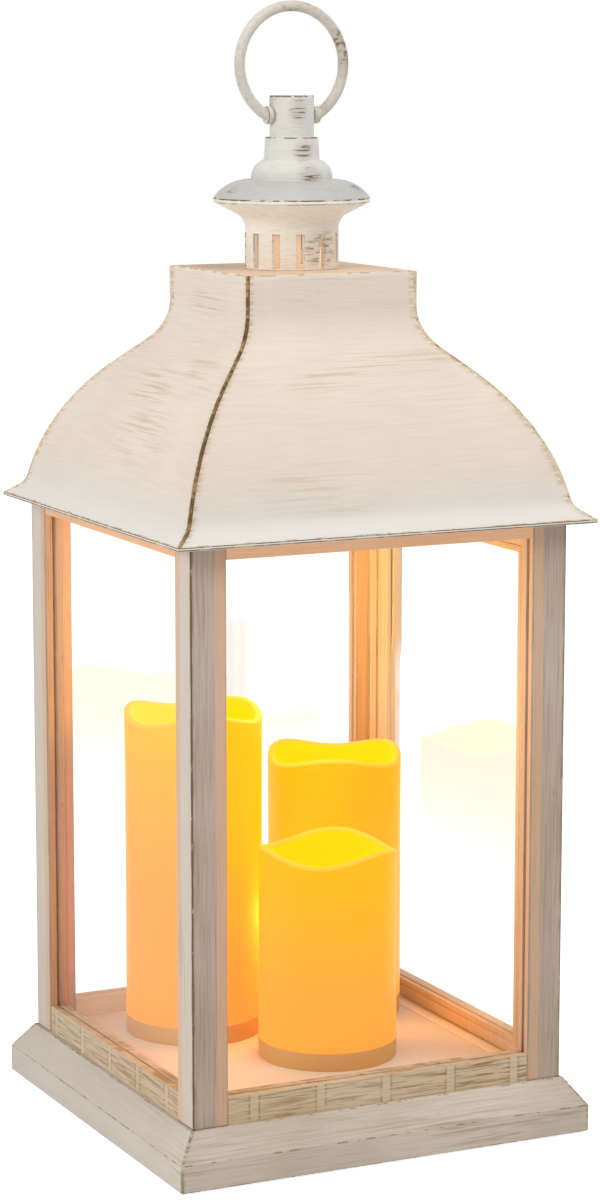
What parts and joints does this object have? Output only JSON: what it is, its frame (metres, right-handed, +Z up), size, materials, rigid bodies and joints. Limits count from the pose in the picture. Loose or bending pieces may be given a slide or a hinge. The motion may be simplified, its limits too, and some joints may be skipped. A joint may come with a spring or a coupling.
{
  "type": "candle lantern",
  "caption": "Square glazed lantern with an ogee roof, vented cupola, carrying ring, hinged side and battery pillar candles.",
  "frame": {"origin": "centre of the footprint, on the surface the lantern stands on", "axes": "+Z up, front face towards -Y, hinged side towards +X"},
  "size_m": [0.254, 0.254, 0.6372],
  "materials": {
    "whitewash": "whitewashed wood-grain moulding with brown dry-brush",
    "roof_whitewash": "cream whitewash with brown streaks, gold worn hips",
    "cupola_whitewash": "cool white paint with brown streaks",
    "ring_paint": "white paint, rubbed through to brown",
    "clear_pane": "clear, polished",
    "floor": "cream paint",
    "cover": "fine texture",
    "steel": "zinc plated",
    "brass": "plain",
    "rubber": "matt",
    "candle_wax": "waxy, lit from inside",
    "candle_base": "smooth",
    "battery": "printed sleeve, no lettering",
    "switch": "black",
    "circuit_board": "green solder mask",
    "lamp": "lit lamp, clear amber dome"
  },
  "bodies": {
    "lantern": {"plinth": "whitewash", "bottom_cover": "cover", "cover_screws": "steel", "foot_pads": "rubber", "floor_plate": "floor", "frame_screws": "steel", "post_front_left": "whitewash", "post_front_right": "whitewash", "post_back_left": "whitewash", "post_back_right": "whitewash", "bottom_rail_front": "whitewash", "bottom_rail_left": "whitewash", "bottom_rail_back": "whitewash", "door_sill": "whitewash", "top_rail_front": "whitewash", "top_rail_left": "whitewash", "top_rail_back": "whitewash", "door_head": "whitewash", "pane_front": "clear_pane", "pane_left": "clear_pane", "pane_back": "clear_pane", "door_washer": "brass", "roof_shell": "roof_whitewash", "roof_screws": "steel", "vent_tube": "cupola_whitewash", "vent_clamp_ring": "cupola_whitewash", "vent_screws": "steel", "cupola_cap": "cupola_whitewash", "ring_stem": "cupola_whitewash", "stem_bolt": "steel", "ring_pivot_pin": "steel", "latch_screw": "steel"},
    "ring": {"carrying_ring": "ring_paint"},
    "door": {"door_frame": "whitewash", "door_pane": "clear_pane", "door_pane_bead": "whitewash", "door_pivot_pins": "steel"},
    "latch": {"latch_button": "whitewash"},
    "short_candle": {"short_candle_shell": "candle_wax", "short_candle_base": "candle_base", "short_candle_batteries": "battery", "short_candle_led_board": "circuit_board", "short_candle_led": "lamp"},
    "short_candle_cover": {"short_candle_battery_cover": "candle_base"},
    "short_candle_slider": {"short_candle_switch": "switch"},
    "middle_candle": {"middle_candle_shell": "candle_wax", "middle_candle_base": "candle_base", "middle_candle_batteries": "battery", "middle_candle_led_board": "circuit_board", "middle_candle_led": "lamp"},
    "middle_candle_cover": {"middle_candle_battery_cover": "candle_base"},
    "middle_candle_slider": {"middle_candle_switch": "switch"},
    "tall_candle": {"tall_candle_shell": "candle_wax", "tall_candle_base": "candle_base", "tall_candle_batteries": "battery", "tall_candle_led_board": "circuit_board", "tall_candle_led": "lamp"},
    "tall_candle_cover": {"tall_candle_battery_cover": "candle_base"},
    "tall_candle_slider": {"tall_candle_switch": "switch"}
  },
  "joints": [
    {"name": "ring_swing", "type": "hinge", "parent": "lantern", "child": "ring", "pos_m": [0, 0, 0.574], "axis": [1, 0, 0], "range_deg": [-125, 125]},
    {"name": "door_swing", "type": "hinge", "parent": "lantern", "child": "door", "pos_m": [0.1084, -0.0869, 0.18], "axis": [0, 0, -1], "range_deg": [0, 95]},
    {"name": "latch_turn", "type": "hinge", "parent": "lantern", "child": "latch", "pos_m": [0.1145, 0.104, 0.1917], "axis": [-1, 0, 0], "range_deg": [0, 90]},
    {"name": "short_candle_lift", "type": "slide", "parent": "lantern", "child": "short_candle", "axis": [0, 0, 1], "range_m": [0, 0.06]},
    {"name": "short_candle_cover_twist", "type": "hinge", "parent": "short_candle", "child": "short_candle_cover", "pos_m": [0.00964, -0.02728, 0.0384], "axis": [0, 0, 1], "range_deg": [0, 30]},
    {"name": "short_candle_switch_slide", "type": "slide", "parent": "short_candle", "child": "short_candle_slider", "axis": [1, 0, 0], "range_m": [0, 0.004]},
    {"name": "middle_candle_lift", "type": "slide", "parent": "lantern", "child": "middle_candle", "axis": [0, 0, 1], "range_m": [0, 0.06]},
    {"name": "middle_candle_cover_twist", "type": "hinge", "parent": "middle_candle", "child": "middle_candle_cover", "pos_m": [0.0543, 0.0543, 0.0384], "axis": [0, 0, 1], "range_deg": [0, 30]},
    {"name": "middle_candle_switch_slide", "type": "slide", "parent": "middle_candle", "child": "middle_candle_slider", "axis": [1, 0, 0], "range_m": [0, 0.004]},
    {"name": "tall_candle_lift", "type": "slide", "parent": "lantern", "child": "tall_candle", "axis": [0, 0, 1], "range_m": [0, 0.06]},
    {"name": "tall_candle_cover_twist", "type": "hinge", "parent": "tall_candle", "child": "tall_candle_cover", "pos_m": [-0.03868, 0.05219, 0.0384], "axis": [0, 0, 1], "range_deg": [0, 30]},
    {"name": "tall_candle_switch_slide", "type": "slide", "parent": "tall_candle", "child": "tall_candle_slider", "axis": [1, 0, 0], "range_m": [0, 0.004]}
  ]
}
